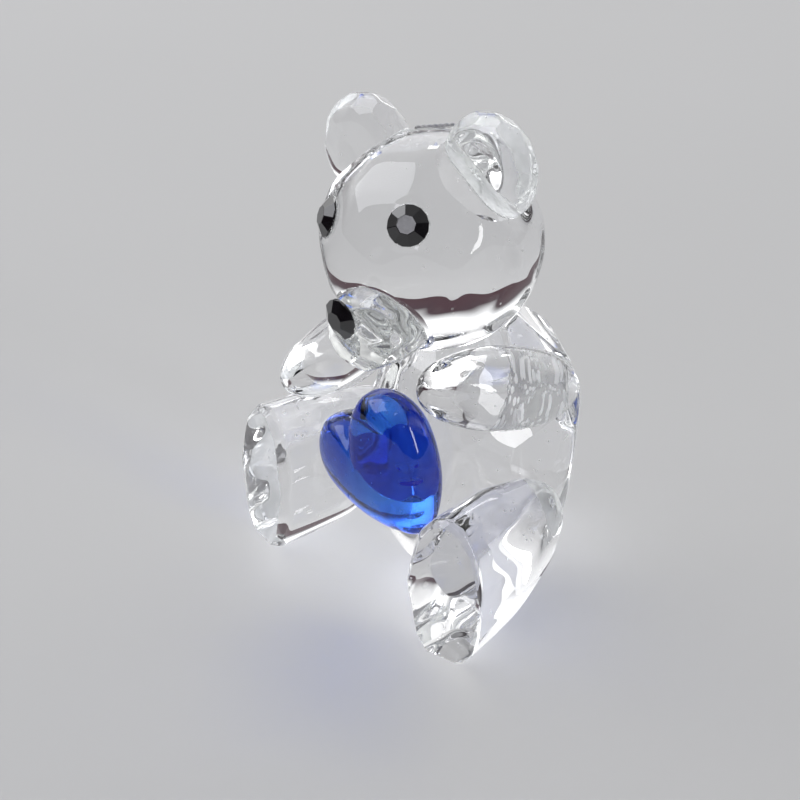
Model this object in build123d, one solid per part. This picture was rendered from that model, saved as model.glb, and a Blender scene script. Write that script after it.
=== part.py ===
from build123d import *
import os
from math import atan2, cos, degrees, radians, sin, sqrt

# Faceted crystal bear, seated and holding a glass heart, in millimetres.
# The origin is on the resting plane, below the middle of the torso. The bear looks
# along -Y, its left side is +X and +Z is up. Every piece is ground on its own and the
# pieces are glued face to face, so each joint is two flat seats and a film of adhesive.

os.makedirs("parts", exist_ok=True)

# ---- driving dimensions ------------------------------------------------------------

GLUE = 0.12                      # thickness of a cured adhesive film
BLANK = 90.0                     # cube of glass that every piece is ground from

TORSO_RADIUS = 10.25
TORSO_RISE = 14.6                # half height up to the neck
TORSO_SHOULDER = 12.2            # half height that the sloping shoulders follow
TORSO_DROP = 21.8                # half height of the belly, which stands cut off at Z 0
TORSO_MIDDLE = (0, 0, 13.2)      # widest section

HEAD_RADIUS = 10.3
HEAD_CENTRE = (-0.2, -6.9, 35.5)
HEAD_TURN = (4.0, 6.8, 14.8)     # yaw to the bear's left, pitch up, left side raised
NECK_TILT = 73.8                 # elevation of the neck seat's normal
NECK_SEAT = 10.1                 # head's centre to the seat

EAR_SEMI = (5.1, 5.1, 2.2, 2.2)  # across, along, front and back half sizes
EAR_ANGLE_LEFT = 43.0            # ear's centre above the head's level
EAR_ANGLE_RIGHT = 52.0
EAR_REACH = 10.7                 # head's centre to ear's centre
EAR_SEAT = 9.2                   # head's centre to the seat

MUZZLE_PLACE = (0, -9.0, -5.8)
MUZZLE_RADIUS = 3.85
MUZZLE_SEAT = 9.3
MUZZLE_SEAT_DIP = 37.0
NOSE_PLACE = (0, -13.35, -3.95)  # middle of the ground nose face
NOSE_TURN = -10.0                # nose face turned from the head's forward axis
NOSE_DIP = 7.0                   # and tipped below it

STONE_TABLE = 0.45               # width of the table as a fraction of the stone
STONE_GIRDLE = 0.28
STONE_HEIGHT = 0.95
EYE_DIAMETER = 3.8
EYE_AZIMUTH_LEFT = 29.0
EYE_AZIMUTH_RIGHT = 32.0
EYE_ELEVATION = 21.2
EYE_SEAT = 10.2
NOSE_DIAMETER = 3.8

SOLE_LEFT = (13.13, -18.37, 7.02)
SOLE_RIGHT = (-12.62, -17.16, 7.06)
SOLE_SPLAY_LEFT = 10.3
SOLE_SPLAY_RIGHT = -14.3
LEG_SEMI = (4.15, 8.35, 12.0, 17.4)
LEG_MIDDLE = 1.5                 # sole to the thickest section
SOLE_BEVEL = 0.35                # depth ground off the edge of each sole
LEG_SPLAY_LEFT = 7.0
LEG_SPLAY_RIGHT = -9.0
HIP_LEFT = (80.0, 10.0)          # azimuth of the seat and its distance from the torso's axis
HIP_RIGHT = (-70.0, 9.3)

ARM_SEMI_LEFT = (3.6, 4.1, 9.6, 8.8)
ARM_SEMI_RIGHT = (3.5, 3.8, 9.7, 8.8)
ARM_LEFT = (9.1, -6.6, 23.1)
ARM_RIGHT = (-10.2, -6.2, 19.7)
ARM_AIM_LEFT = (-16.0, 16.0)     # azimuth and elevation of the hand end
ARM_AIM_RIGHT = (-7.0, -10.0)
SHOULDER_LEFT = (71.0, 25.0, 10.35)  # azimuth, elevation and distance of the seat
SHOULDER_RIGHT = (-85.0, 21.0, 9.8)

HEART_CENTRE = (1.25, -13.5, 13.6)
HEART_TURN = (0.0, -2.4, 44.7)   # yaw, pitch up, cleft towards the right hand
HEART_WIDTH = 14.8
HEART_HEIGHT = 14.3
HEART_THICK = 7.4
CHEST_SEAT = 10.15               # torso's axis to the seat

CROWN_AIM = (-162.1, 70.1)       # small facet behind the top of the head
CROWN_FACET = 10.3
BEAD_DIAMETER = 0.74
BEAD_COUNT = 7
BEAD_PITCH = 0.68


# ---- frames ------------------------------------------------------------------------

def aim(azimuth, elevation):
    """Unit vector: azimuth from -Y towards +X, then elevation above the level."""
    a, e = radians(azimuth), radians(elevation)
    return Vector(sin(a) * cos(e), -cos(a) * cos(e), sin(e))


def turned(origin, turn):
    """Frame at origin after a yaw, a pitch up and a roll that raises its +X side."""
    yaw, pitch, roll = turn
    return Location(tuple(origin)) * Rot(Z=yaw) * Rot(X=-pitch) * Rot(Y=-roll)


def facing(origin, azimuth, elevation):
    """Frame whose +Z is aimed and whose +X stays level."""
    return turned(origin, (azimuth, elevation, 0)) * Rot(X=90)


def seat_in(frame, azimuth, elevation, distance, origin=(0, 0, 0)):
    """World plane of a seat that lies a distance from origin, aimed in a frame."""
    normal = aim(azimuth, elevation)
    return Plane(frame * Plane(origin=Vector(origin) + normal * distance, z_dir=normal).location)


# ---- grinding ----------------------------------------------------------------------

def ring(tilt, count, turn=0.0):
    """Normals of one row of facets round the Z axis, all at one tilt above level."""
    angles = [360 * (k + turn) / count for k in range(count)]
    return [aim(angle + 90, tilt) for angle in angles]


def egg(semi, rows):
    """Facet planes that touch an egg: half sizes across, along, up and down."""
    across, along, up, down = semi
    planes = []
    for row in rows:
        for n in ring(*row):
            rise = up if n.Z > 0 else down
            reach = sqrt((across * n.X) ** 2 + (along * n.Y) ** 2 + (rise * n.Z) ** 2)
            planes.append(Plane(origin=n * reach, z_dir=n))
    return planes


def cone(radius, height, tilt, count, turn=0.0):
    """Facet planes of a row that all pass radius from the axis at one height."""
    reach = radius * cos(radians(tilt)) + height * sin(radians(tilt))
    return [Plane(origin=n * reach, z_dir=n) for n in ring(tilt, count, turn)]


def caps(top, bottom):
    """Level planes that end a piece above and below."""
    return [Plane(origin=(0, 0, top), z_dir=(0, 0, 1)), Plane(origin=(0, 0, bottom), z_dir=(0, 0, -1))]


def gem(planes):
    """A blank ground down to the given planes."""
    half = BLANK / 2
    solid = Solid.make_box(BLANK, BLANK, BLANK, Plane((-half, -half, -half)))
    for plane in planes:
        solid = split(solid, bisect_by=plane, keep=Keep.BOTTOM).solid()
    return solid


def glue(big, small, seat):
    """Grind both pieces to a seat and return them with the adhesive film between."""
    axis = Axis(seat.origin, seat.z_dir)
    big = split(big, bisect_by=seat, keep=Keep.BOTTOM).solid()
    small = split(small, bisect_by=seat.offset(GLUE), keep=Keep.TOP).solid()
    below = extrude(small.faces().sort_by(axis)[0], amount=GLUE, dir=-seat.z_dir)
    above = extrude(big.faces().sort_by(axis)[-1], amount=GLUE, dir=seat.z_dir)
    return big, small, (below & above).solid()


# ---- pieces, each in its own frame -------------------------------------------------

def make_torso():
    neck = egg((TORSO_RADIUS, TORSO_RADIUS, TORSO_RISE, TORSO_DROP), [(68, 5, 0.5)])
    rows = [(-66, 6), (-24, 8, 0.5), (-3, 9), (22, 9, 0.5), (46, 7)]
    return gem(neck + egg((TORSO_RADIUS, TORSO_RADIUS, TORSO_SHOULDER, TORSO_DROP), rows))


def make_head():
    rows = [(-62, 5, 0.5), (-34, 8), (-6, 9, 0.5), (22, 9), (50, 7, 0.5), (72, 5)]
    return gem(egg([HEAD_RADIUS] * 4, rows) + caps(HEAD_RADIUS, -HEAD_RADIUS))


def make_ear():
    """Thick disc that faces +Z, with a bevelled rim."""
    rows = [(0, 12), (40, 12, 0.5), (-40, 12, 0.5)]
    return gem(egg(EAR_SEMI, rows) + caps(0.96 * EAR_SEMI[2], -0.96 * EAR_SEMI[3]))


def make_muzzle():
    """Snout along +Z with its top along +Y: straight on top and bevelled at the chin."""
    r = MUZZLE_RADIUS
    chin = [plane for plane in cone(0.88 * r, 2.6, 40, 9, 0.25) if plane.z_dir.Y < 0.25]
    return gem(cone(r, 1.0, 4, 10) + chin + caps(2 * r, -2 * r))


def make_stone(diameter):
    """Flat-back stone facing +Z: sixteen-sided girdle, eight crown facets and a table."""
    r = diameter / 2
    slope = degrees(atan2(r * (1 - STONE_TABLE), STONE_HEIGHT - STONE_GIRDLE))
    return gem(cone(r, 0, 0, 16, 0.5) + cone(r, STONE_GIRDLE, slope, 8) + caps(STONE_HEIGHT, -1))


def make_beads():
    """Row of small beads along X that run into each other."""
    beads = []
    for k in range(BEAD_COUNT):
        x = BEAD_PITCH * (k - (BEAD_COUNT - 1) / 2)
        beads.append(Pos(x, 0, 0.02) * Solid.make_sphere(BEAD_DIAMETER / 2))
    return (beads[0] + beads[1:]).solid()


def make_leg():
    """Leg with its sole towards +Z and a fine bevel round the sole."""
    rows = [(-3, 14, 0.5), (-16, 12), (-32, 8, 0.5), (-52, 6), (-74, 4, 0.5)]
    across, along = LEG_SEMI[:2]
    bevel = []
    for n in ring(45, 14, 0.5):
        reach = sqrt((across * n.X) ** 2 + (along * n.Y) ** 2) + LEG_MIDDLE * n.Z - SOLE_BEVEL
        bevel.append(Plane(origin=n * reach, z_dir=n))
    return gem(egg(LEG_SEMI, rows) + bevel)


def make_arm(semi):
    rows = [(-80, 3), (-62, 6, 0.5), (-34, 8), (-6, 8, 0.5), (14, 8), (36, 7, 0.5), (60, 5), (80, 3)]
    return gem(egg(semi, rows))


def make_heart():
    """Puffed heart facing -Y: widest in the middle, tapering to both faces."""
    half, top = HEART_WIDTH / 2, HEART_HEIGHT / 2
    cleft, lobe, flank, tip = (0, 0.62 * top), (0.50 * half, top), (half, 0.26 * top), (0, -top)
    right = [
        ThreePointArc(cleft, (0.18 * half, 0.90 * top), lobe),
        ThreePointArc(lobe, (0.89 * half, 0.76 * top), flank),
        ThreePointArc(flank, (0.66 * half, -0.46 * top), tip),
    ]
    outline = Plane.XZ * make_face(right + [mirror(edge, about=Plane.YZ) for edge in right])
    steps = [(0, 1.0), (0.52, 0.94), (0.86, 0.78), (1.0, 0.58)]
    sections = [Location((0, -HEART_THICK / 2 * y, 0)) * scale(outline, by=size) for y, size in steps]
    front = loft(sections, ruled=True)
    return (front + mirror(front, about=Plane.XZ)).solid()


# ---- torso, legs and arms ----------------------------------------------------------

made = {}
world = Location()
torso = split(Location(TORSO_MIDDLE) * make_torso(), bisect_by=Plane.XY, keep=Keep.TOP).solid()

LEGS = [
    ("left", SOLE_LEFT, SOLE_SPLAY_LEFT, LEG_SPLAY_LEFT, HIP_LEFT),
    ("right", SOLE_RIGHT, SOLE_SPLAY_RIGHT, LEG_SPLAY_RIGHT, HIP_RIGHT),
]
for side, sole, sole_splay, leg_splay, hip in LEGS:
    leg = facing(Vector(sole) - aim(leg_splay, 0) * LEG_MIDDLE, leg_splay, 0) * make_leg()
    leg = split(leg, bisect_by=Plane(origin=sole, z_dir=aim(sole_splay, 0)), keep=Keep.BOTTOM).solid()
    leg = split(leg, bisect_by=Plane.XY, keep=Keep.TOP).solid()
    seat = seat_in(world, hip[0], 0, hip[1], TORSO_MIDDLE)
    torso, made["leg_" + side], made["bond_leg_" + side] = glue(torso, leg, seat)

ARMS = [
    ("left", ARM_SEMI_LEFT, ARM_LEFT, ARM_AIM_LEFT, SHOULDER_LEFT),
    ("right", ARM_SEMI_RIGHT, ARM_RIGHT, ARM_AIM_RIGHT, SHOULDER_RIGHT),
]
for side, semi, middle, arm_aim, shoulder in ARMS:
    arm = facing(middle, *arm_aim) * make_arm(semi)
    seat = seat_in(world, *shoulder, TORSO_MIDDLE)
    torso, made["arm_" + side], made["bond_arm_" + side] = glue(torso, arm, seat)

# ---- heart -------------------------------------------------------------------------

heart = turned(HEART_CENTRE, HEART_TURN) * make_heart()
seat = seat_in(world, 0, 0, CHEST_SEAT, TORSO_MIDDLE)
torso, heart, made["bond_heart_chest"] = glue(torso, heart, seat)
made["heart"] = heart

# ---- head --------------------------------------------------------------------------

pose = turned(HEAD_CENTRE, HEAD_TURN)
head = pose * make_head()
neck = Plane(origin=Vector(HEAD_CENTRE) - aim(0, NECK_TILT) * NECK_SEAT, z_dir=aim(0, NECK_TILT))
torso, head, made["bond_neck"] = glue(torso, head, neck)
made["torso"] = torso

FEATURES = [
    ("left", 90, EAR_ANGLE_LEFT, EYE_AZIMUTH_LEFT),
    ("right", -90, EAR_ANGLE_RIGHT, -EYE_AZIMUTH_RIGHT),
]
for side, ear_azimuth, ear_angle, eye_azimuth in FEATURES:
    middle = aim(ear_azimuth, ear_angle) * EAR_REACH
    ear = pose * Location(tuple(middle)) * Rot(X=90) * make_ear()
    seat = seat_in(pose, ear_azimuth, ear_angle, EAR_SEAT)
    head, made["ear_" + side], made["bond_ear_" + side] = glue(head, ear, seat)
    seat = seat_in(pose, eye_azimuth, EYE_ELEVATION, EYE_SEAT)
    eye = seat.location * make_stone(EYE_DIAMETER)
    head, made["eye_stone_" + side], made["bond_eye_" + side] = glue(head, eye, seat)

crown = seat_in(pose, *CROWN_AIM, CROWN_FACET)
head = split(head, bisect_by=crown, keep=Keep.BOTTOM).solid()
made["crown_beads"] = split(crown.location * make_beads(), bisect_by=crown, keep=Keep.TOP).solid()

muzzle = pose * facing(MUZZLE_PLACE, 0, 0) * make_muzzle()
head, muzzle, made["bond_muzzle"] = glue(head, muzzle, seat_in(pose, 0, -MUZZLE_SEAT_DIP, MUZZLE_SEAT))
made["head"] = head
seat = seat_in(pose, NOSE_TURN, -NOSE_DIP, 0, NOSE_PLACE)
nose = seat.location * make_stone(NOSE_DIAMETER)
made["muzzle"], made["nose_stone"], made["bond_nose"] = glue(muzzle, nose, seat)

for name, solid in made.items():
    export_step(solid, "parts/" + name + ".step")
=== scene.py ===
import bmesh
import bpy
import numpy as np
from math import atan2, cos, degrees, hypot, pi, radians, sin, sqrt
from mathutils import Matrix, Vector

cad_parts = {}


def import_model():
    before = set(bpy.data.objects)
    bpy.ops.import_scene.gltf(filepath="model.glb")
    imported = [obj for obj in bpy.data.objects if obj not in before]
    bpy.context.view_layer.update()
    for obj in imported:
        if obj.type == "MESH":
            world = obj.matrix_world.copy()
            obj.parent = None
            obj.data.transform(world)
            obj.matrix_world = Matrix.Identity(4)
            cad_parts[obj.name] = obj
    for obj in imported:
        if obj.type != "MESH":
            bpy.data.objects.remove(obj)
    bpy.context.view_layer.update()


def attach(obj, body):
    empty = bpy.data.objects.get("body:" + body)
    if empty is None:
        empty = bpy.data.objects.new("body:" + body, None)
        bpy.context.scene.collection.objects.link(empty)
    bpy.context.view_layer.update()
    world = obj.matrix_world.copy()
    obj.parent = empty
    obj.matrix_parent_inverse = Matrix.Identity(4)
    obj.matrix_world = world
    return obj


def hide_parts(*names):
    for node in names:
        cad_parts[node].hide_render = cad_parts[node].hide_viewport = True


# The looks of the crystal bear. Lengths are millimetres until a mesh is written in metres.
# The glass pieces follow the same ground planes as the CAD pieces, with polished, slightly
# rounded edges between the facets. Where two pieces are glued, the shared part of their
# seats is clear all the way through, as it is when the film has nearly the index of glass.

MM = 0.001
FILM_GAP = 0.12        # between two glued seats
FILM_INSET = 0.012     # from each seat to the film's own face
RIM_INSET = 0.01       # from the edge of the shared area to the film's edge
TOUCHING = 0.985       # share of a seat's radius at which the other seat counts as reaching it
CUT_TOLERANCE = 1e-5
UP = np.array((0, 0, 1.0))

# how sharply facets meet, as the power that blends their planes
SHARPNESS = {"torso": 70, "leg": 80, "arm": 48, "head": 60, "ear": 80, "muzzle": 90}

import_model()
scene = bpy.context.scene


# ---- frames ------------------------------------------------------------------------

def unit(azimuth, elevation):
    """Unit vector: azimuth from -Y towards +X, then elevation above the level."""
    a, e = radians(azimuth), radians(elevation)
    return np.array((sin(a) * cos(e), -cos(a) * cos(e), sin(e)))


def turned(origin, yaw, pitch, roll):
    """Frame at origin after a yaw, a pitch up and a roll that raises its +X side."""
    turn = Matrix.Rotation(radians(yaw), 4, "Z") @ Matrix.Rotation(radians(-pitch), 4, "X")
    return Matrix.Translation(Vector(origin)) @ turn @ Matrix.Rotation(radians(-roll), 4, "Y")


def facing(origin, azimuth, elevation):
    """Frame whose +Z is aimed and whose +X stays level."""
    return turned(origin, azimuth, elevation, 0) @ Matrix.Rotation(radians(90), 4, "X")


def framed(x_axis, y_axis, z_axis, origin):
    """Frame with the given axes and origin."""
    rows = [(x_axis[k], y_axis[k], z_axis[k], origin[k]) for k in range(3)]
    return Matrix(rows + [(0, 0, 0, 1)])


def moved(pose, points):
    """Points of a frame, in the world."""
    m = np.array(pose)
    return points @ m[:3, :3].T + m[:3, 3]


def seat_in(pose, azimuth, elevation, distance, origin=(0, 0, 0)):
    """World plane of a seat, as a point and a normal."""
    normal = unit(azimuth, elevation)
    m = np.array(pose)
    return moved(pose, np.array(origin) + normal * distance), m[:3, :3] @ normal


# ---- facet planes ------------------------------------------------------------------

def ring(tilt, count, turn=0.0):
    """Normals of one row of facets round the Z axis, all at one tilt above level."""
    return [unit(360 * (k + turn) / count + 90, tilt) for k in range(count)]


def egg(semi, rows):
    """Facet planes that touch an egg: half sizes across, along, up and down."""
    across, along, up, down = semi
    planes = []
    for row in rows:
        for n in ring(*row):
            rise = up if n[2] > 0 else down
            reach = sqrt((across * n[0]) ** 2 + (along * n[1]) ** 2 + (rise * n[2]) ** 2)
            planes.append((n, reach))
    return planes


def cone(radius, height, tilt, count, turn=0.0):
    """Facet planes of a row that all pass radius from the axis at one height."""
    reach = radius * cos(radians(tilt)) + height * sin(radians(tilt))
    return [(n, reach) for n in ring(tilt, count, turn)]


def ends(top, bottom):
    """The two flats square to the Z axis."""
    return [(UP, top), (-UP, -bottom)]


# ---- meshes ------------------------------------------------------------------------

def ball(detail):
    """Directions of an even ball of points, with its triangles."""
    bm = bmesh.new()
    bmesh.ops.create_icosphere(bm, subdivisions=detail, radius=1.0)
    points = np.array([v.co[:] for v in bm.verts])
    faces = [[v.index for v in f.verts] for f in bm.faces]
    bm.free()
    return points, faces


def solid(points, faces):
    """Smooth mesh of the points and faces."""
    bm = bmesh.new()
    verts = [bm.verts.new(p) for p in points]
    for f in faces:
        bm.faces.new([verts[i] for i in f]).smooth = True
    return bm


def polished(planes, pose, skin, sharpness, detail):
    """Moulded egg, ground to the planes and polished, so that facets roll over at their edges."""
    points, faces = BALLS[detail]
    across, along, up, down = skin
    points = points * np.array((across, along, (up + down) / 2))
    points /= np.linalg.norm(points, axis=1)[:, None]
    rise = np.where(points[:, 2] > 0, up, down)
    stretched = points / np.stack([np.full(len(rise), across), np.full(len(rise), along), rise], axis=1)
    blank = np.linalg.norm(stretched, axis=1)
    total = blank ** sharpness
    for n, d in planes:
        total += np.maximum(points @ n / d, 0) ** sharpness
    reach = total ** (-1 / sharpness)
    return solid(moved(pose, points * reach[:, None]), faces)


def cut(bm, point, normal):
    """Grinds off what lies beyond the plane and returns the open edge, in order."""
    everything = bm.verts[:] + bm.edges[:] + bm.faces[:]
    plane = {"plane_co": Vector(point), "plane_no": Vector(normal)}
    bmesh.ops.bisect_plane(bm, geom=everything, dist=CUT_TOLERANCE, clear_outer=True, **plane)
    rim = {e for e in bm.edges if e.is_boundary}
    if not rim:
        return []
    first = min(rim, key=lambda e: tuple(round(c, 4) for c in (e.verts[0].co + e.verts[1].co)))
    loop, edge, at = [], first, first.verts[0]
    while edge in rim:
        rim.discard(edge)
        edge.smooth = False
        loop.append(at)
        at = edge.other_vert(at)
        edge = next((e for e in at.link_edges if e in rim), None)
    return loop


def radius_at(outline, angle):
    """Distance from the origin to a closed convex outline, at each angle."""
    a, b = outline, np.roll(outline, -1, axis=0)
    out = np.zeros(len(angle))
    for k, t in enumerate(angle):
        d = np.array((cos(t), sin(t)))
        cross_a = d[0] * a[:, 1] - d[1] * a[:, 0]
        cross_b = d[0] * b[:, 1] - d[1] * b[:, 0]
        hits = (cross_a <= 0) & (cross_b > 0) | (cross_a > 0) & (cross_b <= 0)
        share = cross_a[hits] / (cross_a[hits] - cross_b[hits])
        reach = (a[hits] + (b[hits] - a[hits]) * share[:, None]) @ d
        out[k] = reach.max() if len(reach) else 0.0
    return out


def axes_of(normal):
    """Two axes along a plane, and its normal."""
    n = Vector(normal).normalized()
    side = n.orthogonal().normalized()
    return np.array(side), np.array(n.cross(side)), np.array(n)


def cap(bm, loop, centre, inner=None):
    """Closes an open edge. Within the inner radii the face is glued and gets material 1."""
    middle = bm.verts.new(Vector(centre))
    shared = loop
    if inner is not None:
        shared = []
        for v, (share, touching) in zip(loop, inner):
            shared.append(v if touching else bm.verts.new(middle.co + (v.co - middle.co) * share))
    count = len(loop)
    for k in range(count):
        a, b = shared[k], shared[(k + 1) % count]
        glued = bm.faces.new((middle, a, b))
        glued.material_index = 1 if inner is not None else 0
        outer = list(dict.fromkeys((loop[k], loop[(k + 1) % count], b, a)))
        if len(outer) > 2:
            bm.faces.new(outer)


def flat_cut(bm, point, normal):
    """Grinds a free flat and closes it."""
    loop = cut(bm, point, normal)
    if loop:
        cap(bm, loop, np.mean([v.co[:] for v in loop], axis=0))


def glue(name, big, small, seat, ripple=0.0):
    """Grinds both pieces to a seat and makes the film between them."""
    point, normal = seat
    side, up, n = axes_of(normal)
    loops = [cut(big, point, n), cut(small, point + n * FILM_GAP, -n)]
    flat = []
    for loop in loops:
        pts = np.array([v.co[:] for v in loop]) - point
        flat.append(np.stack([pts @ side, pts @ up], axis=1))
    turns = np.linspace(-pi, pi, 96, endpoint=False)
    rays = np.stack([np.cos(turns), np.sin(turns)], axis=1)

    def shared_reach():
        return np.minimum(radius_at(flat[0] - middle, turns), radius_at(flat[1] - middle, turns))

    # the middle of the shared area, found by averaging it over rays a few times
    middle = flat[1].mean(axis=0)
    for _ in range(8):
        reach = shared_reach()
        area = (reach ** 2).sum()
        step = rays * (reach ** 3)[:, None]
        middle = middle + step.sum(axis=0) / max(area, 1e-9) * 2 / 3
    for loop, own, other, bm, lift in zip(loops, flat, flat[::-1], (big, small), (0, FILM_GAP)):
        rel = own - middle
        angle = np.arctan2(rel[:, 1], rel[:, 0])
        mine = np.linalg.norm(rel, axis=1)
        theirs = radius_at(other - middle, angle)
        inner = [(t / m if m else 1.0, t >= m * TOUCHING) for m, t in zip(mine, theirs)]
        cap(bm, loop, point + side * middle[0] + up * middle[1] + n * lift, inner)
    rim = rays * (shared_reach() - RIM_INSET)[:, None] + middle
    slab = bmesh.new()
    low, high = [
        [slab.verts.new(Vector(point + side * p[0] + up * p[1] + n * h)) for p in rim]
        for h in (FILM_INSET, FILM_GAP - FILM_INSET)
    ]
    slab.faces.new(low[::-1])
    slab.faces.new(high)
    for k in range(len(low)):
        j = (k + 1) % len(low)
        slab.faces.new((low[k], low[j], high[j], high[k])).smooth = True
    bmesh.ops.triangulate(slab, faces=[f for f in slab.faces if len(f.verts) > 4])
    squeeze_out(slab, point + n * FILM_GAP / 2, (side, up, n), rim, ripple)
    made[name] = slab


def squeeze_out(bm, point, axes, rim, ripple):
    """Cured bead of adhesive that was pressed out, unevenly, round the edge of a film."""
    side, up, n = axes
    count, sides = 2 * len(rim), 8
    overhang, radius, unevenness = 0.03, 0.075, 0.016
    places = np.linspace(0, len(rim), count, endpoint=False)
    wrapped = np.vstack([rim, rim[:1]])
    path = np.stack([np.interp(places, np.arange(len(rim) + 1), wrapped[:, k]) for k in (0, 1)], axis=1)
    turn = np.linspace(0, 2 * pi, count, endpoint=False)
    wave = np.sin(17 * turn) + 0.7 * np.sin(29 * turn + 1.3) + 0.5 * np.sin(47 * turn + 0.4)
    out = path - rim.mean(axis=0)
    out /= np.linalg.norm(out, axis=1)[:, None]
    path = path + out * (overhang + ripple * 0.4 * wave)[:, None]
    size = radius + ripple * 0.5 + unevenness * np.roll(wave, 5)
    rows = []
    for (px, py), (ox, oy), r in zip(path, out, size):
        row = []
        for k in range(sides):
            a = 2 * pi * k / sides
            q = point + side * (px + ox * r * cos(a)) + up * (py + oy * r * cos(a)) + n * r * sin(a)
            row.append(bm.verts.new(Vector(q)))
        rows.append(row)
    for i in range(count):
        j = (i + 1) % count
        for k in range(sides):
            m = (k + 1) % sides
            f = bm.faces.new((rows[i][k], rows[j][k], rows[j][m], rows[i][m]))
            f.smooth = True
            f.material_index = 1


def ground(planes, pose, round_edge):
    """Small stone with flat facets and fine polished edges."""
    bm = bmesh.new()
    bmesh.ops.create_cube(bm, size=30.0)
    for n, d in planes:
        loop = cut(bm, n * d, n)
        if loop:
            bm.faces.new(loop)
    for e in bm.edges:
        e.smooth = True
    bmesh.ops.recalc_face_normals(bm, faces=bm.faces[:])
    style = {"segments": 2, "affect": "EDGES", "profile": 0.5, "clamp_overlap": True}
    bmesh.ops.bevel(bm, geom=bm.edges[:], offset=round_edge, **style)
    bmesh.ops.transform(bm, matrix=pose, verts=bm.verts[:])
    return bm


FINE, PLAIN = ((7, 6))
BALLS = {detail: ball(detail) for detail in (FINE, PLAIN)}
made = {}

# ---- torso and limbs ---------------------------------------------------------------

MIDDLE = (0, 0, 13.2)
WORLD = Matrix.Identity(4)
FLOOR_CUT = ((0, 0, 0), (0, 0, -1))
TORSO_SKIN = (10.75, 10.75, 14.4, 22.8)
TORSO_ROWS = [(-66, 6), (-24, 8, 0.5), (-3, 9), (22, 9, 0.5), (46, 7)]
torso_planes = egg((10.25, 10.25, 14.6, 21.8), [(68, 5, 0.5)])
torso_planes += egg((10.25, 10.25, 12.2, 21.8), TORSO_ROWS)
torso = polished(torso_planes, Matrix.Translation(MIDDLE), TORSO_SKIN, SHARPNESS["torso"], FINE)
flat_cut(torso, *FLOOR_CUT)

LEG_SEMI = (4.15, 8.35, 12.0, 17.4)
LEG_SKIN = (4.32, 8.7, 12.6, 18.2)
SOLE_DEPTH = 1.5
SOLE_BEVEL = 0.35
SLANT = 0.7071
LEG_ROWS = [(-3, 14, 0.5), (-16, 12), (-32, 8, 0.5), (-52, 6), (-74, 4, 0.5)]
# side, middle of the sole, where the sole faces, where the leg points, hip seat
LEGS = [
    ("left", (13.13, -18.37, 7.02), 10.3, 7.0, (80.0, 10.0)),
    ("right", (-12.62, -17.16, 7.06), -14.3, -9.0, (-70.0, 9.3)),
]
for side, sole, sole_splay, splay, hip in LEGS:
    middle = np.array(sole) - unit(splay, 0) * SOLE_DEPTH
    planes = egg(LEG_SEMI, LEG_ROWS) + [(UP, 9.0)]
    for n in ring(45, 14, 0.5):
        edge = hypot(LEG_SEMI[0] * n[0], LEG_SEMI[1] * n[1]) * 2 * SLANT
        planes.append((n, SLANT * (edge + SOLE_DEPTH) - SOLE_BEVEL))
    leg = polished(planes, facing(middle, splay, 0), LEG_SKIN, SHARPNESS["leg"], FINE)
    flat_cut(leg, sole, unit(sole_splay, 0))
    flat_cut(leg, *FLOOR_CUT)
    glue("bond_leg_" + side, torso, leg, seat_in(WORLD, hip[0], 0, hip[1], MIDDLE), 0.05)
    made["leg_" + side] = leg

ARM_SKIN = 1.02
ARM_ROWS = [(-80, 3), (-62, 6, 0.5), (-34, 8), (-6, 8, 0.5), (14, 8), (36, 7, 0.5), (60, 5), (80, 3)]
# side, half sizes, middle, where the hand points, shoulder seat, ripple of the pressed-out bead
ARMS = [
    ("left", (3.6, 4.1, 9.6, 8.8), (9.1, -6.6, 23.1), (-16.0, 16.0), (71.0, 25.0, 10.35), 0.16),
    ("right", (3.5, 3.8, 9.7, 8.8), (-10.2, -6.2, 19.7), (-7.0, -10.0), (-85.0, 21.0, 9.8), 0.02),
]
for side, semi, middle, direction, shoulder, ripple in ARMS:
    skin = [ARM_SKIN * half for half in semi]
    arm = polished(egg(semi, ARM_ROWS), facing(middle, *direction), skin, SHARPNESS["arm"], FINE)
    glue("bond_arm_" + side, torso, arm, seat_in(WORLD, *shoulder, MIDDLE), ripple)
    made["arm_" + side] = arm

# ---- heart -------------------------------------------------------------------------

def arc(a, b, c, count):
    """Points of the circle through three points, from the first to the last."""
    (ax, ay), (bx, by), (cx, cy) = a, b, c
    aa, bb, cc = ax**2 + ay**2, bx**2 + by**2, cx**2 + cy**2
    d = 2 * (ax * (by - cy) + bx * (cy - ay) + cx * (ay - by))
    x = (aa * (by - cy) + bb * (cy - ay) + cc * (ay - by)) / d
    y = (aa * (cx - bx) + bb * (ax - cx) + cc * (bx - ax)) / d
    start, mid, end = [atan2(q[1] - y, q[0] - x) for q in (a, b, c)]
    mid = start + (mid - start + pi) % (2 * pi) - pi
    end = mid + (end - mid + pi) % (2 * pi) - pi
    r = sqrt((ax - x) ** 2 + (ay - y) ** 2)
    return [(x + r * cos(t), y + r * sin(t)) for t in np.linspace(start, end, count)]


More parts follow.
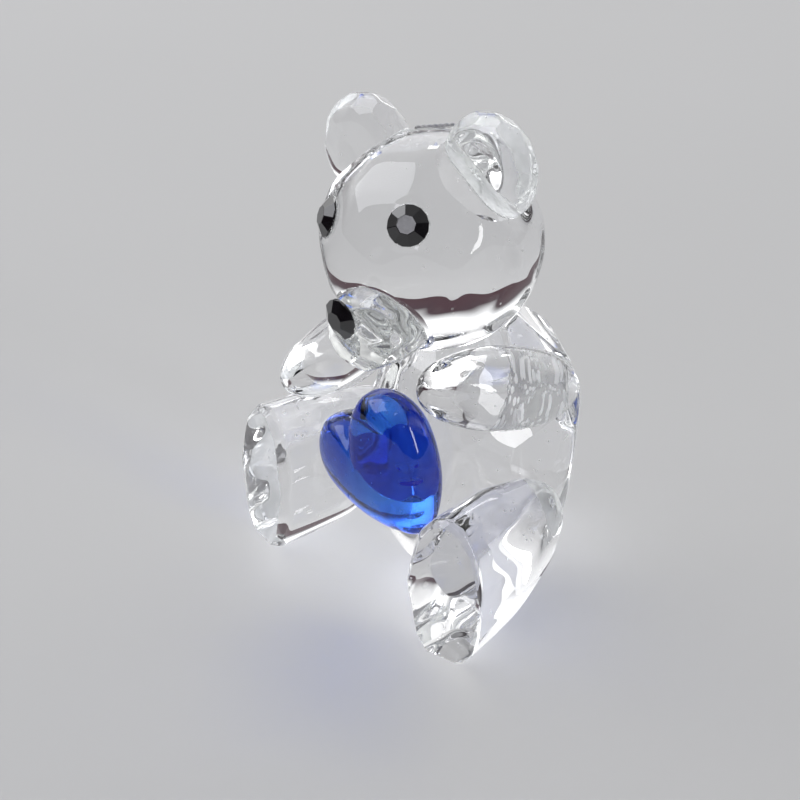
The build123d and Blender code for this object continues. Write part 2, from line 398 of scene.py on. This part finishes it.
def heart_reach(width, height, angles):
    """Distance from the middle to the heart's outline, softened in the cleft."""
    half, top = width / 2, height / 2
    cleft, lobe, flank, tip = (0, 0.62 * top), (0.50 * half, top), (half, 0.26 * top), (0, -top)
    right = arc(cleft, (0.18 * half, 0.90 * top), lobe, 40)
    right += arc(lobe, (0.89 * half, 0.76 * top), flank, 40)
    right += arc(flank, (0.66 * half, -0.46 * top), tip, 60)
    x, y = np.array(right).T
    t = np.arctan2(x, y)
    r = np.hypot(x, y)
    order = np.argsort(t)
    reach = np.interp(np.abs(angles), t[order], r[order])
    span, softness = 12, 2.6
    kernel = np.exp(-0.5 * (np.arange(-span, span + 1) * 360 / len(angles) / softness) ** 2)
    kernel /= kernel.sum()
    return np.convolve(np.concatenate([reach[-span:], reach, reach[:span]]), kernel, mode="valid")


def puffed_heart(width, height, thick, pose, rings, turns):
    """Heart with a swelling front and back, rounder towards the middle of each."""
    puff, full_outline = 2.3, 0.85
    angles = np.linspace(-pi, pi, turns, endpoint=False)
    reach = heart_reach(width, height, angles)
    even = 0.86 * reach.mean()
    points = [(0, -thick / 2, 0)]
    levels = np.sin(np.linspace(0, pi, rings + 2)[1:-1] - pi / 2)
    for level in levels:
        size = (1 - abs(level) ** puff) ** (1 / puff)
        blend = min(1, size / full_outline)
        r = size * (even + (reach - even) * blend)
        for t, q in zip(angles, r):
            points.append((q * sin(t), level * thick / 2, q * cos(t)))
    points.append((0, thick / 2, 0))
    faces = []
    for k in range(turns):
        j = (k + 1) % turns
        faces.append((0, 1 + k, 1 + j))
        for i in range(rings - 1):
            a = 1 + i * turns
            faces.append((a + k, a + turns + k, a + turns + j, a + j))
        a = 1 + (rings - 1) * turns
        faces.append((len(points) - 1, a + j, a + k))
    return solid(moved(pose, np.array(points)), faces)


heart_detail = ((96, 240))
heart_pose = turned((1.25, -13.5, 13.6), 0, -2.4, 44.7)
heart = puffed_heart(14.8, 14.3, 7.3, heart_pose, *heart_detail)
glue("bond_heart_chest", torso, heart, seat_in(WORLD, 0, 0, 10.15, MIDDLE))
made["heart"] = heart

# ---- head --------------------------------------------------------------------------

HEAD = (-0.2, -6.9, 35.5)
POSE = turned(HEAD, 4.0, 6.8, 14.8)
HEAD_RADIUS = 10.3
HEAD_SKIN = 10.64
HEAD_ROWS = [(-62, 5, 0.5), (-34, 8), (-6, 9, 0.5), (22, 9), (50, 7, 0.5), (72, 5)]
head_planes = egg([HEAD_RADIUS] * 4, HEAD_ROWS) + ends(HEAD_RADIUS, -HEAD_RADIUS)
head = polished(head_planes, POSE, [HEAD_SKIN] * 4, SHARPNESS["head"], FINE)
neck = unit(0, 73.8)
glue("bond_neck", torso, head, (np.array(HEAD) - neck * 10.1, neck))
made["torso"] = torso

STONE_RADIUS = 1.9
STONE_HEIGHT, STONE_GIRDLE, STONE_TABLE = 0.95, 0.28, 0.45
STONE_ROUND = 0.035


def stone(seat):
    """Flat-back stone on a seat: sixteen-sided girdle, eight crown facets and a table."""
    slope = degrees(atan2(STONE_RADIUS * (1 - STONE_TABLE), STONE_HEIGHT - STONE_GIRDLE))
    planes = cone(STONE_RADIUS, 0, 0, 16, 0.5) + cone(STONE_RADIUS, STONE_GIRDLE, slope, 8)
    planes += ends(STONE_HEIGHT, -1)
    return ground(planes, framed(*axes_of(seat[1]), seat[0]), STONE_ROUND)


EAR_ROWS = [(0, 12), (40, 12, 0.5), (-40, 12, 0.5)]
EAR_PLANES = egg((5.1, 5.1, 2.2, 2.2), EAR_ROWS) + ends(2.11, -2.11)
EAR_SKIN = (5.3, 5.3, 2.5, 2.5)
EAR_DISTANCE, EAR_SEAT = 10.7, 9.2
EYE_ELEVATION, EYE_SEAT = 21.2, 10.2
# side, where the ear sits, where the eye sits
FEATURES = [("left", 90, 43.0, 29.0), ("right", -90, 52.0, -32.0)]
for side, azimuth, elevation, eye_azimuth in FEATURES:
    middle = Matrix.Translation(Vector(unit(azimuth, elevation) * EAR_DISTANCE))
    pose = POSE @ middle @ Matrix.Rotation(radians(90), 4, "X")
    ear = polished(EAR_PLANES, pose, EAR_SKIN, SHARPNESS["ear"], PLAIN)
    glue("bond_ear_" + side, head, ear, seat_in(POSE, azimuth, elevation, EAR_SEAT))
    made["ear_" + side] = ear
    seat = seat_in(POSE, eye_azimuth, EYE_ELEVATION, EYE_SEAT)
    eye = stone(seat)
    glue("bond_eye_" + side, head, eye, seat)
    made["eye_stone_" + side] = eye

BEAD_RADIUS, BEAD_PITCH, BEAD_COUNT = 0.37, 0.68, 7
BEAD_LIFT = 0.02


def bead_row(pose):
    """Row of beads along X that run into each other."""
    half = 2.41
    x = np.linspace(-half, half, 230)
    steps = BEAD_PITCH * (np.arange(BEAD_COUNT) - BEAD_COUNT // 2)
    r = np.sqrt(np.maximum(BEAD_RADIUS ** 2 - (x[:, None] - steps) ** 2, 0)).max(axis=1)
    turns = np.linspace(0, 2 * pi, 16, endpoint=False)
    points = []
    for px, pr in zip(x[1:-1], r[1:-1]):
        points += [(px, pr * cos(t), BEAD_LIFT + pr * sin(t)) for t in turns]
    points += [(x[0], 0, BEAD_LIFT), (x[-1], 0, BEAD_LIFT)]
    count, last = len(turns), len(x) - 3
    faces = []
    for k in range(count):
        j = (k + 1) % count
        for i in range(last):
            faces.append((i * count + k, i * count + j, (i + 1) * count + j, (i + 1) * count + k))
        faces.append((len(points) - 2, j, k))
        faces.append((len(points) - 1, last * count + k, last * count + j))
    return solid(moved(pose, np.array(points)), faces)


# the beads sit on their own small facet behind the top of the head
crown_point, crown_normal = seat_in(POSE, -162.1, 70.1, HEAD_RADIUS)
row_x = np.array(POSE)[:3, 0]
row_x = row_x - crown_normal * (row_x @ crown_normal)
row_x /= np.linalg.norm(row_x)
row_y = np.cross(crown_normal, row_x)
flat_cut(head, crown_point, crown_normal)
beads = bead_row(framed(row_x, row_y, crown_normal, crown_point))
flat_cut(beads, crown_point + crown_normal * 0.01, -crown_normal)
made["crown_beads"] = beads

MUZZLE_RADIUS = 3.85
MUZZLE_SKIN = (4.0, 4.0, 7.0, 9.0)
chin = [plane for plane in cone(0.88 * MUZZLE_RADIUS, 2.6, 40, 9, 0.25) if plane[0][1] < 0.25]
muzzle_planes = cone(MUZZLE_RADIUS, 1.0, 4, 10) + chin + ends(7.7, -7.7)
muzzle_pose = POSE @ facing((0, -9.0, -5.8), 0, 0)
muzzle = polished(muzzle_planes, muzzle_pose, MUZZLE_SKIN, SHARPNESS["muzzle"], FINE)
glue("bond_muzzle", head, muzzle, seat_in(POSE, 0, -37.0, 9.3))
made["head"] = head
seat = seat_in(POSE, -10.0, -7.0, 0, (0, -13.35, -3.95))
nose = stone(seat)
glue("bond_nose", muzzle, nose, seat)
made["muzzle"] = muzzle
made["nose_stone"] = nose


# ---- materials ---------------------------------------------------------------------

def nodes_of(name):
    """New empty node material, with its nodes and links."""
    m = bpy.data.materials.new(name)
    m.use_nodes = True
    m.node_tree.nodes.clear()
    return m, m.node_tree.nodes, m.node_tree.links


def noise(nodes, links, scale, detail=3.0):
    where = nodes.new("ShaderNodeTexCoord")
    n = nodes.new("ShaderNodeTexNoise")
    n.inputs["Scale"].default_value = scale
    n.inputs["Detail"].default_value = detail
    links.new(where.outputs["Object"], n.inputs["Vector"])
    return n


def ramp(nodes, links, value, stops):
    r = nodes.new("ShaderNodeValToRGB")
    while len(r.color_ramp.elements) < len(stops):
        r.color_ramp.elements.new(0.5)
    for e, (at, colour) in zip(r.color_ramp.elements, stops):
        e.position = at
        e.color = (*colour, 1)
    links.new(value, r.inputs["Fac"])
    return r.outputs["Color"]


def maths(nodes, links, operation, *values):
    """Math node; each value is a number or a socket."""
    n = nodes.new("ShaderNodeMath")
    n.operation = operation
    for k, value in enumerate(values):
        if isinstance(value, float):
            n.inputs[k].default_value = value
        else:
            links.new(value, n.inputs[k])
    return n.outputs["Value"]


def spread(nodes, links, value, start, end, low=0.0, high=1.0):
    """Maps start..end of a value to low..high."""
    n = nodes.new("ShaderNodeMapRange")
    for name, number in (("From Min", start), ("From Max", end), ("To Min", low), ("To Max", high)):
        n.inputs[name].default_value = number
    links.new(value, n.inputs["Value"])
    return n.outputs["Result"]


def cells_of(nodes, links, scale):
    """Voronoi cells over the piece."""
    where = nodes.new("ShaderNodeTexCoord")
    cells = nodes.new("ShaderNodeTexVoronoi")
    cells.inputs["Scale"].default_value = scale
    links.new(where.outputs["Object"], cells.inputs["Vector"])
    return cells


def surface(nodes, links, shader):
    """Ends a material with the shader."""
    out = nodes.new("ShaderNodeOutputMaterial")
    links.new(shader, out.inputs["Surface"])


def through(nodes, links, shader, tint):
    """Lets lamp light pass the piece, tinted, so that it throws a light shadow."""
    path = nodes.new("ShaderNodeLightPath")
    clear = nodes.new("ShaderNodeBsdfTransparent")
    clear.inputs["Color"].default_value = (*tint, 1)
    mix = nodes.new("ShaderNodeMixShader")
    links.new(path.outputs["Is Shadow Ray"], mix.inputs["Fac"])
    links.new(shader, mix.inputs[1])
    links.new(clear.outputs["BSDF"], mix.inputs[2])
    surface(nodes, links, mix.outputs["Shader"])


def specks(nodes, links, value):
    """Adds a few dull pin marks and dust specks to a roughness."""
    cells = cells_of(nodes, links, 1100.0)
    pick = nodes.new("ShaderNodeSeparateColor")
    links.new(cells.outputs["Color"], pick.inputs["Color"])
    dot = maths(nodes, links, "LESS_THAN", cells.outputs["Distance"], 0.13)
    few = maths(nodes, links, "GREATER_THAN", pick.outputs["Red"], 0.7)
    both = maths(nodes, links, "MULTIPLY", dot, few)
    return maths(nodes, links, "MULTIPLY_ADD", both, 0.5, value)


def glass(name, stops, rough, ior, shadow, rim=None, patch=90.0):
    """Polished glass; rim is a second colour where it's seen at a low angle."""
    m, nodes, links = nodes_of(name)
    body = nodes.new("ShaderNodeBsdfPrincipled")
    body.inputs["IOR"].default_value = ior
    body.inputs["Transmission Weight"].default_value = 1.0
    cloud = noise(nodes, links, patch)
    # the glass colour wanders between the stops with noise; for the cobalt heart the lighter azure
    # patches are painted highlight streaks
    colour = ramp(nodes, links, cloud.outputs["Fac"], stops)
    if rim:
        weight = nodes.new("ShaderNodeLayerWeight")
        weight.inputs["Blend"].default_value = 0.35
        edge = nodes.new("ShaderNodeMix")
        edge.data_type = "RGBA"
        edge.inputs["B"].default_value = (*rim, 1)
        links.new(weight.outputs["Facing"], edge.inputs["Factor"])
        links.new(colour, edge.inputs["A"])
        colour = edge.outputs["Result"]
    links.new(colour, body.inputs["Base Color"])
    wear = noise(nodes, links, 420.0, 5.0)
    dull = spread(nodes, links, wear.outputs["Fac"], 0.35, 0.75, *rough)
    links.new(specks(nodes, links, dull), body.inputs["Roughness"])
    swell = noise(nodes, links, 260.0, 2.0)
    bump = nodes.new("ShaderNodeBump")
    bump.inputs["Strength"].default_value = 0.25
    bump.inputs["Distance"].default_value = 0.000015
    links.new(swell.outputs["Fac"], bump.inputs["Height"])
    links.new(bump.outputs["Normal"], body.inputs["Normal"])
    through(nodes, links, body.outputs["BSDF"], shadow)
    return m


def coupled(name, tint):
    """A glued face: light goes straight on into the film and the next piece."""
    m, nodes, links = nodes_of(name)
    clear = nodes.new("ShaderNodeBsdfTransparent")
    cloud = noise(nodes, links, 300.0)
    links.new(ramp(nodes, links, cloud.outputs["Fac"], tint), clear.inputs["Color"])
    surface(nodes, links, clear.outputs["BSDF"])
    return m


def film(name, bubbles, size, tint, milk=0.0):
    """Cured adhesive: clear, with bubbles in patches that catch the light, and some milky haze."""
    m, nodes, links = nodes_of(name)
    cells = cells_of(nodes, links, 1000.0 / size)
    patches = noise(nodes, links, 330.0, 2.0)
    spot = maths(nodes, links, "LESS_THAN", cells.outputs["Distance"], 0.42)
    patch = maths(nodes, links, "LESS_THAN", patches.outputs["Fac"], bubbles)
    bubble = maths(nodes, links, "MULTIPLY", spot, patch)
    clear = nodes.new("ShaderNodeBsdfTransparent")
    links.new(ramp(nodes, links, patches.outputs["Fac"], tint), clear.inputs["Color"])
    shine = nodes.new("ShaderNodeBsdfPrincipled")
    shine.inputs["Base Color"].default_value = (0.95, 0.96, 0.98, 1)
    shine.inputs["Roughness"].default_value = 0.25
    white = nodes.new("ShaderNodeBsdfDiffuse")
    white.inputs["Color"].default_value = (0.93, 0.94, 0.96, 1)
    haze = spread(nodes, links, patches.outputs["Fac"], 0.3, 0.7, milk * 0.5, milk * 1.5)
    base = nodes.new("ShaderNodeMixShader")
    links.new(haze, base.inputs["Fac"])
    links.new(clear.outputs["BSDF"], base.inputs[1])
    links.new(white.outputs["BSDF"], base.inputs[2])
    mix = nodes.new("ShaderNodeMixShader")
    links.new(bubble, mix.inputs["Fac"])
    links.new(base.outputs["Shader"], mix.inputs[1])
    links.new(shine.outputs["BSDF"], mix.inputs[2])
    surface(nodes, links, mix.outputs["Shader"])
    return m


def black_stone():
    m, nodes, links = nodes_of("black_glass")
    body = nodes.new("ShaderNodeBsdfPrincipled")
    body.inputs["IOR"].default_value = 1.6
    body.inputs["Coat Weight"].default_value = 0.6
    body.inputs["Coat Roughness"].default_value = 0.01
    cloud = noise(nodes, links, 900.0)
    stops = [(0.3, (0.002, 0.002, 0.003)), (0.8, (0.012, 0.011, 0.014))]
    links.new(ramp(nodes, links, cloud.outputs["Fac"], stops), body.inputs["Base Color"])
    wear = noise(nodes, links, 2600.0, 4.0)
    links.new(spread(nodes, links, wear.outputs["Fac"], 0.0, 1.0, 0.02, 0.07), body.inputs["Roughness"])
    surface(nodes, links, body.outputs["BSDF"])
    return m


POLISH = (0.0, 0.006)
CLEAR_STOPS = [(0.35, (0.985, 0.988, 0.995)), (0.75, (0.997, 0.998, 1.0))]
# cobalt heart: the dark stop is the glass's own blue, the pale azure stop is painted highlight, streaks
# that stand in for refracted window light
COBALT_AND_STREAK_STOPS = [(0.36, (0.008, 0.055, 0.52)), (0.62, (0.055, 0.27, 0.95))]
# crown beads: the grey tint is painted shade, so the clear beads read dark between their glints
BEAD_SHADE_STOPS = [(0.35, (0.25, 0.25, 0.26)), (0.75, (0.50, 0.50, 0.52))]
BEAD_STOPS = [(0.35, (0.95, 0.955, 0.95)), (0.75, (0.98, 0.98, 0.975))]
FILM_STOPS = [(0.4, (0.96, 0.965, 0.955)), (0.7, (0.985, 0.985, 0.98))]
BLUE_SHADOW, BLUE_RIM = (0.4, 0.5, 0.88), (0.02, 0.008, 0.38)

CLEAR = glass("clear_glass", CLEAR_STOPS, POLISH, 1.54, (0.93,) * 3)
BLUE = glass("cobalt_glass", COBALT_AND_STREAK_STOPS, POLISH, 1.52, BLUE_SHADOW, BLUE_RIM, 150.0)
SHADED_BEAD_GLASS = glass("bead_glass_painted_shade", BEAD_SHADE_STOPS, (0.0, 0.02), 1.54, (0.7,) * 3)
BEAD = glass("adhesive_bead", BEAD_STOPS, (0.02, 0.10), 1.48, (0.9,) * 3)
BLACK = black_stone()
GLUED = coupled("glued_face", [(0.4, (0.97, 0.975, 0.97)), (0.7, (0.99, 0.99, 0.99))])
GLUED_BLUE = coupled("glued_blue_face", [(0.4, (0.08, 0.19, 0.72)), (0.7, (0.12, 0.26, 0.82))])
CLEAN_FILM = film("clean_film", 0.38, 0.5, FILM_STOPS)
MILKY_FILM = film("milky_film", 0.38, 0.5, FILM_STOPS, 0.36)
HAZY_FILM = film("hazy_film", 0.38, 0.5, FILM_STOPS, 0.18)
BUBBLE_FILM = film("bubble_film", 0.58, 0.36, [(0.4, (0.80, 0.80, 0.81)), (0.7, (0.95, 0.95, 0.95))])
FILMS = {"bond_arm_left": BUBBLE_FILM, "bond_neck": CLEAN_FILM, "bond_muzzle": HAZY_FILM}


# ---- objects -----------------------------------------------------------------------

def finish_piece(node, bm):
    """Writes a piece in metres, with its materials, body and the CAD node it stands for."""
    bmesh.ops.remove_doubles(bm, verts=bm.verts[:], dist=1e-4)
    bmesh.ops.dissolve_degenerate(bm, dist=1e-5, edges=bm.edges[:])
    bmesh.ops.recalc_face_normals(bm, faces=bm.faces[:])
    bmesh.ops.scale(bm, vec=(MM, MM, MM), verts=bm.verts[:])
    mesh = bpy.data.meshes.new(node + "_look")
    bm.to_mesh(mesh)
    bm.free()
    ob = bpy.data.objects.new(node + "_look", mesh)
    scene.collection.objects.link(ob)
    if node.startswith("bond_"):
        mesh.materials.append(FILMS.get(node, MILKY_FILM))
        mesh.materials.append(BEAD)
    elif "stone" in node:
        mesh.materials.append(BLACK)
        mesh.materials.append(BLACK)
    elif node == "heart":
        mesh.materials.append(BLUE)
        mesh.materials.append(GLUED_BLUE)
    else:
        # the crown beads get the glass darkened with painted shade
        mesh.materials.append(SHADED_BEAD_GLASS if node == "crown_beads" else CLEAR)
        mesh.materials.append(GLUED)
    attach(ob, "root")
    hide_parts(node)


for node in sorted(made):
    finish_piece(node, made[node])

# ---- floor, light and camera -------------------------------------------------------

def stage_floor():
    """Plain pale floor, a hair below the piece."""
    mesh = bpy.data.meshes.new("floor")
    s = 0.5
    mesh.from_pydata([(-s, -s, 0), (s, -s, 0), (s, s, 0), (-s, s, 0)], [], [(0, 1, 2, 3)])
    ob = bpy.data.objects.new("floor", mesh)
    ob.location.z = -0.0001
    scene.collection.objects.link(ob)
    m, nodes, links = nodes_of("floor")
    body = nodes.new("ShaderNodeBsdfPrincipled")
    cloud = noise(nodes, links, 6.0)
    stops = [(0.3, (0.52,) * 3), (0.8, (0.55,) * 3)]
    links.new(ramp(nodes, links, cloud.outputs["Fac"], stops), body.inputs["Base Color"])
    body.inputs["Roughness"].default_value = 0.6
    body.inputs["Specular IOR Level"].default_value = 0.15
    surface(nodes, links, body.outputs["BSDF"])
    mesh.materials.append(m)


def lamp(name, place, target, width, height, power, colour=(1, 1, 1)):
    """Soft rectangular lamp aimed at a point."""
    data = bpy.data.lights.new(name, "AREA")
    data.shape = "RECTANGLE"
    data.size = width
    data.size_y = height
    data.energy = power
    data.color = colour
    ob = bpy.data.objects.new(name, data)
    ob.location = place
    ob.rotation_mode = "QUATERNION"
    ob.rotation_quaternion = (Vector(target) - Vector(place)).to_track_quat("-Z", "Y")
    scene.collection.objects.link(ob)


def world():
    """Studio: bright behind on one side, dim elsewhere, dark near the floor; plain to the camera."""
    w = bpy.data.worlds.new("studio")
    scene.world = w
    w.use_nodes = True
    nodes, links = w.node_tree.nodes, w.node_tree.links
    nodes.clear()
    where = nodes.new("ShaderNodeTexCoord")
    split = nodes.new("ShaderNodeSeparateXYZ")
    links.new(where.outputs["Generated"], split.inputs["Vector"])
    lit = [(0.0, (0.07, 0.03, 0.04)), (0.07, (0.06, 0.03, 0.04)), (0.14, (0.7, 0.7, 0.71))]
    lit += [(0.28, (1.7, 1.7, 1.7)), (0.7, (1.0, 1.0, 1.0)), (1.0, (0.4, 0.4, 0.4))]
    dim = [(0.0, (0.03, 0.02, 0.024)), (0.30, (0.04, 0.035, 0.04))]
    dim += [(0.6, (0.10, 0.10, 0.11)), (1.0, (0.4, 0.4, 0.41))]
    lit_side = ramp(nodes, links, split.outputs["Z"], lit)
    dim_side = ramp(nodes, links, split.outputs["Z"], dim)
    lean = nodes.new("ShaderNodeVectorMath")
    lean.operation = "DOT_PRODUCT"
    lean.inputs[1].default_value = (-0.69, 0.72, 0.0)
    links.new(where.outputs["Generated"], lean.inputs[0])
    side = spread(nodes, links, lean.outputs["Value"], 0.1, 0.5)
    mix = nodes.new("ShaderNodeMix")
    mix.data_type = "RGBA"
    links.new(side, mix.inputs["Factor"])
    links.new(dim_side, mix.inputs["A"])
    links.new(lit_side, mix.inputs["B"])
    path = nodes.new("ShaderNodeLightPath")
    seen = nodes.new("ShaderNodeMix")
    seen.data_type = "RGBA"
    seen.inputs["B"].default_value = (0.42, 0.42, 0.42, 1)
    links.new(path.outputs["Is Camera Ray"], seen.inputs["Factor"])
    links.new(mix.outputs["Result"], seen.inputs["A"])
    back = nodes.new("ShaderNodeBackground")
    links.new(seen.outputs["Result"], back.inputs["Color"])
    back.inputs["Strength"].default_value = 1.0
    out = nodes.new("ShaderNodeOutputWorld")
    links.new(back.outputs["Background"], out.inputs["Surface"])


stage_floor()
world()
TARGET = (0, -0.004, 0.022)
NEAR_EYE = (0.0043, -0.0151, 0.0418)
lamp("window", (-0.52, -0.34, 0.62), TARGET, 0.68, 0.62, 3.5, (0.95, 0.96, 1.0))
lamp("over", (-0.30, 0.55, 0.55), TARGET, 0.5, 0.12, 1.6)
lamp("card", (0.1021, -0.4812, 0.4068), NEAR_EYE, 0.012, 0.012, 0.0015, (0.93, 0.93, 1.0))
lamp("side", (0.80, 0.05, 0.30), TARGET, 0.10, 0.5, 1.4)

camera = bpy.data.cameras.new("camera")
camera.lens = 110.6
camera.sensor_width = 36
camera.clip_start = 0.01
camera.clip_end = 20
viewer = bpy.data.objects.new("camera", camera)
right = Vector((0.724, 0.690, 0.0)).normalized()
back = Vector((0.582, -0.611, 0.537)).normalized()
up = back.cross(right)
roll = radians(-1.34)
x_axis = right * cos(roll) - up * sin(roll)
y_axis = right * sin(roll) + up * cos(roll)
viewer.matrix_world = framed(x_axis, y_axis, back, (0.13674, -0.15438, 0.14564))
scene.collection.objects.link(viewer)
scene.camera = viewer

scene.cycles.max_bounces = 20
scene.cycles.transmission_bounces = 20
scene.cycles.glossy_bounces = 8
scene.cycles.transparent_max_bounces = 40
scene.cycles.sample_clamp_indirect = 6.0
scene.cycles.blur_glossy = 0.5
scene.view_settings.view_transform = "Standard"
